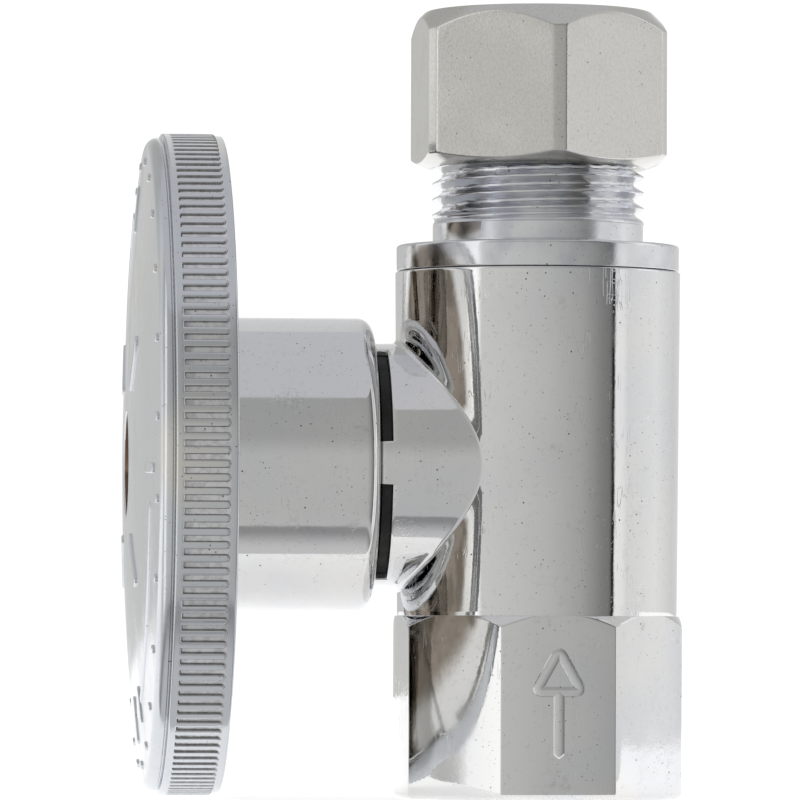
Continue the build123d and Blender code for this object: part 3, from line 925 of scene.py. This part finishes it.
def thread_plate(name):
    f = Finish(name, (0.76, 0.765, 0.78), 1.0, 0.13)
    f.tint((0.52, 0.54, 0.60), f.ramp(f.noise(240, 4.0), 0.44, 0.66, 0.0, 0.6))
    f.tint((0.70, 0.62, 0.50), f.ramp(f.noise(120, 3.0), 0.62, 0.74, 0.0, 0.5))
    f.bump(f.noise(700, 3.0, 0.6), 0.000010)
    f.specks(1600, 0.11, (0.12, 0.11, 0.10), 0.45, 0.000008)
    f.specks(3000, 0.14, (0.16, 0.15, 0.14), 0.45, 0.000005)
    f.rougher(f.ramp(f.noise(260, 4.0), 0.45, 0.70), 0.14)
    return f.finish()


def satin_handle(name):
    f = Finish(name, (0.67, 0.692, 0.722), 1.0, 0.12)
    grain = f.noise(2400, 3.0, 0.6)
    f.tint((0.62, 0.64, 0.67), f.ramp(f.noise(130, 4.0, 0.6), 0.42, 0.66, 0.0, 0.55))
    f.tint((0.80, 0.75, 0.66), f.ramp(f.noise(75, 2.0), 0.62, 0.74, 0.0, 0.5))
    f.bump(grain, 0.0000035)
    f.bump(f.noise(260, 2.0, 0.5), 0.000008)
    f.scratches(900, (1.0, 0.12, 1.0), (0.2, 0, 0.3), 0.012, 0.000003, 0.35)
    f.specks(1600, 0.10, (0.16, 0.15, 0.14), 0.45, 0.000008)
    f.specks(3000, 0.14, (0.22, 0.21, 0.20), 0.42, 0.000005)
    f.rougher(f.ramp(f.noise(240, 4.0), 0.42, 0.70), 0.13)
    return f.finish()


def copper_stain(name):
    """Bare and tarnished alloy where the plating stops inside a hole."""
    f = Finish(name, (0.36, 0.22, 0.14), 1.0, 0.36)
    f.tint((0.16, 0.11, 0.08), f.ramp(f.noise(420, 4.0), 0.42, 0.62, 0.0, 0.85))
    f.tint((0.55, 0.40, 0.28), f.ramp(f.noise(700, 3.0), 0.58, 0.72, 0.0, 0.6))
    f.bump(f.noise(900, 4.0), 0.00003)
    f.rougher(f.ramp(f.noise(350, 3.0), 0.4, 0.7), 0.25)
    return f.finish()


def back_with_painted_shade(name):
    """Plating of the handle's hollow back, with painted shade and painted reflection: dark brown and mottled
    towards the hub.
    """
    f = Finish(name, (0.94, 0.935, 0.92), 1.0, 0.05)
    split = f.add("ShaderNodeSeparateXYZ")
    f.join(f.place, split.inputs[0])
    rise = f.math("SUBTRACT", split.outputs[2], STEM_Z * MM)
    rise_square = f.math("MULTIPLY", rise, rise)
    side_square = f.math("MULTIPLY", split.outputs[1], split.outputs[1])
    reach = f.math("SQRT", f.math("ADD", rise_square, side_square))
    uneven = f.math("ADD", reach, f.math("MULTIPLY", f.noise(110, 2.0), 0.0015))
    # Painted shade and reflection: the back turns dark brown towards the hub, mottled by noise.
    painted_shade_near_hub = f.ramp(uneven, 0.0168, 0.0188, 1.0, 0.0)
    f.tint((0.36, 0.315, 0.265), painted_shade_near_hub)
    f.tint((0.20, 0.175, 0.145), f.math("MULTIPLY", painted_shade_near_hub, f.ramp(f.noise(330, 4.0), 0.44, 0.62, 0.0, 0.8)))
    f.bump(f.noise(420, 2.0), 0.000010)
    f.specks(1500, 0.12, (0.06, 0.05, 0.045), 0.45, 0.00001)
    f.rougher(f.math("SUBTRACT", 1.0, painted_shade_near_hub), 0.05)
    return f.finish()


def slot_painted_light_and_shade(name, shade):
    """Dull plating down in the slots between the rim's ribs, its greys scaled by shade: copies with painted
    light for the slot floors and painted shade for the slot walls.
    """
    f = Finish(name, (0.62 * shade, 0.62 * shade, 0.63 * shade), 1.0, 0.24)
    f.tint((0.46 * shade, 0.46 * shade, 0.47 * shade), f.ramp(f.noise(2600, 4.0), 0.42, 0.62, 0.0, 0.7))
    f.specks(1800, 0.12, (0.05, 0.05, 0.05), 0.45, 0.000005)
    f.bump(f.noise(3200, 3.0), 0.000006)
    f.rougher(f.ramp(f.noise(500, 3.0), 0.4, 0.7), 0.15)
    return f.finish()


def brass(name, roughness=0.20):
    f = Finish(name, (0.78, 0.58, 0.27), 1.0, roughness)
    f.tint((0.62, 0.43, 0.19), f.ramp(f.noise(260, 4.0), 0.42, 0.66, 0.0, 0.6))
    turned = f.noise(1500, 2.0, 0.5, where=f.stretched((0.15, 0.15, 1.0)))
    f.bump(turned, 0.000006)
    f.specks(700, 0.16, (0.20, 0.13, 0.06), 0.30, 0.00001)
    f.rougher(f.ramp(f.noise(330, 3.0), 0.42, 0.68), 0.14)
    return f.finish()


def spring_steel(name):
    f = Finish(name, (0.46, 0.46, 0.47), 1.0, 0.28)
    f.tint((0.30, 0.29, 0.29), f.ramp(f.noise(380, 4.0), 0.44, 0.64, 0.0, 0.7))
    f.bump(f.noise(1400, 3.0), 0.000008)
    f.rougher(f.ramp(f.noise(300, 3.0), 0.4, 0.7), 0.18)
    return f.finish()


def seat_plastic(name):
    f = Finish(name, (0.86, 0.86, 0.83), 0.0, 0.42)
    f.tint((0.78, 0.77, 0.73), f.ramp(f.noise(260, 3.0), 0.44, 0.66, 0.0, 0.6))
    f.bump(f.noise(1600, 3.0), 0.000008)
    f.rougher(f.ramp(f.noise(420, 3.0), 0.4, 0.7), 0.15)
    f.shader.inputs["Subsurface Weight"].default_value = 0.15
    f.shader.inputs["Subsurface Radius"].default_value = (0.002, 0.002, 0.002)
    return f.finish()


def seal_rubber(name):
    f = Finish(name, (0.012, 0.012, 0.013), 0.0, 0.55)
    f.tint((0.03, 0.03, 0.031), f.ramp(f.noise(500, 4.0), 0.42, 0.66, 0.0, 0.8))
    f.bump(f.noise(2400, 3.0), 0.000010)
    f.rougher(f.ramp(f.noise(420, 3.0), 0.4, 0.7), 0.2)
    return f.finish()


def pale_floor(name):
    """Plain white matt board that gives off a little even light."""
    f = Finish(name, (0.92, 0.92, 0.92), 0.0, 0.55)
    f.tint((0.86, 0.86, 0.865), f.ramp(f.noise(9, 3.0), 0.4, 0.66, 0.0, 0.3))
    f.rougher(f.ramp(f.noise(14, 3.0), 0.4, 0.7), 0.1)
    f.shader.inputs["Emission Color"].default_value = (0.62, 0.62, 0.62, 1.0)
    f.shader.inputs["Emission Strength"].default_value = 1.0
    return f.finish()


# ---------------------------------------------------------------- the object

BODY_CHROME = polished_chrome("body_chrome")
HANDLE_SATIN = satin_handle("handle_chrome")
NUT_SATIN = satin_nut("nut_satin")
THREAD_PLATE = thread_plate("thread_plate")
COPPER = copper_stain("hole_stain")
# The handle's back, with painted shade and reflection towards the hub.
BACK_PAINTED_SHADE = back_with_painted_shade("handle_back")
# Lit and shaded copies of the slot plating: painted light on the slot floors, painted shade on the slot
# walls.
SLOT_FLOOR_PAINTED_LIGHT = slot_painted_light_and_shade("slot_painted_light_and_shade", 1.3)
SLOT_WALL_PAINTED_SHADE = slot_painted_light_and_shade("slot_wall_painted_shade", 0.62)
BRASS = brass("brass")
SCREW_BRASS = brass("screw_brass", 0.26)
STEEL = spring_steel("spring_steel")
SEAT = seat_plastic("seat_plastic")
RUBBER = seal_rubber("seal_rubber")


def dress(obj, material):
    obj.data.materials.append(material)


body = make_piece("body_casting", make_body_shell(), "valve", "valve_body")
dress(body, BODY_CHROME)
fitting = make_piece("outlet_thread", make_fitting_shell(), "valve", "outlet_fitting")
dress(fitting, THREAD_PLATE)
nut = make_piece("hex_nut", make_nut_shell(), "nut", "compression_nut")
dress(nut, NUT_SATIN)
sleeve = make_piece("tube_sleeve", make_sleeve_shell(), "sleeve", "compression_sleeve")
dress(sleeve, BRASS)
wheel = make_piece("hand_wheel", make_handle_shell(), "handle", "handle")
dress(wheel, HANDLE_SATIN)
for extra in (COPPER, BACK_PAINTED_SHADE, BODY_CHROME, SLOT_FLOOR_PAINTED_LIGHT, SLOT_WALL_PAINTED_SHADE):
    wheel.data.materials.append(extra)
OUTSIDE, IN_HOLE, ON_BACK, ON_HUB, GAP_FLOOR, GAP_SIDE = range(6)


def wheel_finish(reach, out):
    """Which of the handle's materials a face has, by its distance to the stem axis and how far out it is."""
    on_ribs = RIB_START - 0.04 < out < 25.0
    if reach < HOLE_EDGE_R and out < dome_out(3.6) - 0.10:
        return IN_HOLE
    if 11.5 < out < 25.2 and (HUB_R + 0.05 < reach < 20.45 or reach < HUB_R - 1.5):
        return ON_BACK
    if reach < HUB_R + 0.06 and out < 24.9:
        return ON_HUB
    # Slot floors take the copy with painted light, slot walls the copy with painted shade.
    if on_ribs and RIM_R - 0.02 < reach < RIM_R + 0.004:
        return GAP_FLOOR
    if on_ribs and RIM_R < reach < RIM_R + 0.118:
        return GAP_SIDE
    return OUTSIDE


for polygon in wheel.data.polygons:
    spot = polygon.center / MM
    polygon.material_index = wheel_finish(math.hypot(spot.y, spot.z - STEM_Z), -spot.x)

CARRIED = {
    "fitting_o_ring": RUBBER,
    "inlet_ball_seat": SEAT,
    "outlet_ball_seat": SEAT,
    "ball": BRASS,
    "stem": BRASS,
    "stem_thrust_washer": SEAT,
    "stem_o_ring_inner": RUBBER,
    "stem_o_ring_outer": RUBBER,
    # The dust seal's black also stands in for the shade down in the slots between the hub and the neck.
    "dust_seal": RUBBER,
    "handle_screw": SCREW_BRASS,
    "screw_lock_washer": STEEL,
}
for node, material in CARRIED.items():
    for held in nodes[node].material_slots:
        held.material = material


# ---------------------------------------------------------------- studio


def sheet_of(name, corners, material):
    mesh = bpy.data.meshes.new(name)
    mesh.from_pydata([Vector(c) for c in corners], [], [(0, 1, 2, 3)])
    obj = bpy.data.objects.new(name, mesh)
    bpy.context.scene.collection.objects.link(obj)
    obj.data.materials.append(material)


def soft_light(name, place, aim, size, power):
    light = bpy.data.lights.new(name, "AREA")
    light.shape = "RECTANGLE"
    light.size, light.size_y = size
    light.energy = power
    lamp = bpy.data.objects.new(name, light)
    lamp.location = place
    lamp.rotation_euler = (Vector(aim) - Vector(place)).to_track_quat("-Z", "Y").to_euler()
    bpy.context.scene.collection.objects.link(lamp)


FLOOR_LEFT, FLOOR_RIGHT, FLOOR_FRONT, FLOOR_BACK = -0.40, 0.20, -0.0122, 0.60
sheet_of(
    "floor",
    [
        (FLOOR_LEFT, FLOOR_FRONT, 0),
        (FLOOR_RIGHT, FLOOR_FRONT, 0),
        (FLOOR_RIGHT, FLOOR_BACK, 0),
        (FLOOR_LEFT, FLOOR_BACK, 0),
    ],
    pale_floor("pale_floor"),
)

# Brightness of the room by compass direction in degrees, 0 being -Y and 90 being +X.
ROOM = (
    (-180, 0.66),
    (-177, 0.64),
    (-170, 0.60),
    (-140, 0.70),
    (-110, 0.98),
    (-90, 0.74),
    (-79, 0.52),
    (-76, 1.12),
    (-56, 1.20),
    (-52, 0.68),
    (-19, 0.61),
    (2, 0.55),
    (30, 0.42),
    (48, 0.25),
    (56, 0.20),
    (57, 0.02),
    (59.5, 0.02),
    (60.5, 0.96),
    (68, 0.92),
    (73, 0.80),
    (107, 0.90),
    (138, 0.72),
    (160, 0.72),
    (180, 0.66),
)

# Greys laid over it by height, the Z of a unit direction: where each blend starts and ends, its share at
# the two, and the grey.
BANDS = (
    (0.785, 0.800, 0.0, 1.0, (0.60, 0.60, 0.625, 1.0)),
    (-0.72, -0.60, 1.0, 0.0, (0.54, 0.54, 0.54, 1.0)),
    (-0.775, -0.755, 1.0, 0.0, (0.30, 0.30, 0.305, 1.0)),
    (-0.95, -0.80, 1.0, 0.0, (0.62, 0.62, 0.63, 1.0)),
)


def studio_world():
    world = bpy.data.worlds.new("studio")
    bpy.context.scene.world = world
    world.use_nodes = True
    tree = world.node_tree
    tree.nodes.clear()
    out = tree.nodes.new("ShaderNodeOutputWorld")
    back = tree.nodes.new("ShaderNodeBackground")
    tree.links.new(back.outputs[0], out.inputs[0])
    coords = tree.nodes.new("ShaderNodeTexCoord")
    split = tree.nodes.new("ShaderNodeSeparateXYZ")
    tree.links.new(coords.outputs["Generated"], split.inputs[0])

    def calc(operation, a, b=0.0):
        node = tree.nodes.new("ShaderNodeMath")
        node.operation = operation
        for socket, source in zip(node.inputs, (a, b)):
            if isinstance(source, (int, float)):
                socket.default_value = source
            else:
                tree.links.new(source, socket)
        return node.outputs[0]

    x, y, z = split.outputs
    compass = calc("ARCTAN2", x, calc("MULTIPLY", y, -1.0))
    turn = calc("ADD", calc("DIVIDE", compass, 2 * math.pi), 0.5)
    ramp = tree.nodes.new("ShaderNodeValToRGB")
    ramp.color_ramp.interpolation = "LINEAR"
    stops = ramp.color_ramp.elements
    for i, (degrees, level) in enumerate(ROOM):
        stop = stops[0] if i == 0 else stops.new((degrees + 180) / 360)
        stop.position = (degrees + 180) / 360
        blue = 1.0 if level > 0.7 else 0.982
        stop.color = (level, level, level * blue, 1.0)
    stops.remove(stops[-1])
    tree.links.new(turn, ramp.inputs[0])

    def fade(low, high, at_low, at_high):
        node = tree.nodes.new("ShaderNodeMapRange")
        node.interpolation_type = "SMOOTHSTEP"
        tree.links.new(z, node.inputs[0])
        for socket, number in zip(node.inputs[1:5], (low, high, at_low, at_high)):
            socket.default_value = number
        return node.outputs[0]

    def blend(kind, amount, a, b):
        node = tree.nodes.new("ShaderNodeMix")
        node.data_type = "RGBA"
        node.blend_type = kind
        for socket, source in zip((node.inputs[0], node.inputs[6], node.inputs[7]), (amount, a, b)):
            if isinstance(source, (int, float, tuple)):
                socket.default_value = source
            else:
                tree.links.new(source, socket)
        return node.outputs[2]

    whole = blend("MULTIPLY", fade(0.06, 0.40, 0.0, 1.0), ramp.outputs[0], (0.76, 0.76, 0.76, 1.0))
    for low, high, at_low, at_high, grey in BANDS:
        whole = blend("MIX", fade(low, high, at_low, at_high), whole, grey)
    rays = tree.nodes.new("ShaderNodeLightPath")
    shown = blend("MIX", rays.outputs["Is Camera Ray"], whole, (1.05, 1.05, 1.05, 1.0))
    tree.links.new(shown, back.inputs[0])
    back.inputs[1].default_value = 1.0


studio_world()
soft_light("key_left", (-0.9, -0.46, 0.55), (0, 0, 0.03), (0.30, 0.5), 0.11)
soft_light("fill_right", (0.95, 0.10, 0.45), (0, 0, 0.03), (0.5, 0.6), 0.28)

# ---------------------------------------------------------------- camera

TARGET = Vector((-0.0093, 0.0, 0.02676))
DISTANCE = 0.470
AZIMUTH = math.radians(-5.0)
ELEVATION = math.radians(-1.8)
ROLL = 0.20

lens = bpy.data.cameras.new("camera")
lens.lens = 314.0
lens.sensor_width = 36.0
lens.clip_start = 0.02
lens.clip_end = 20.0
camera = bpy.data.objects.new("camera", lens)
bpy.context.scene.collection.objects.link(camera)
away = Vector(
    (math.sin(AZIMUTH) * math.cos(ELEVATION), -math.cos(AZIMUTH) * math.cos(ELEVATION), math.sin(ELEVATION))
)
camera.location = TARGET + away * DISTANCE
level = (-away).to_track_quat("-Z", "Y").to_matrix()
camera.rotation_euler = (level @ Matrix.Rotation(math.radians(ROLL), 3, "Z")).to_euler()
bpy.context.scene.camera = camera
bpy.context.scene.view_settings.view_transform = "Standard"
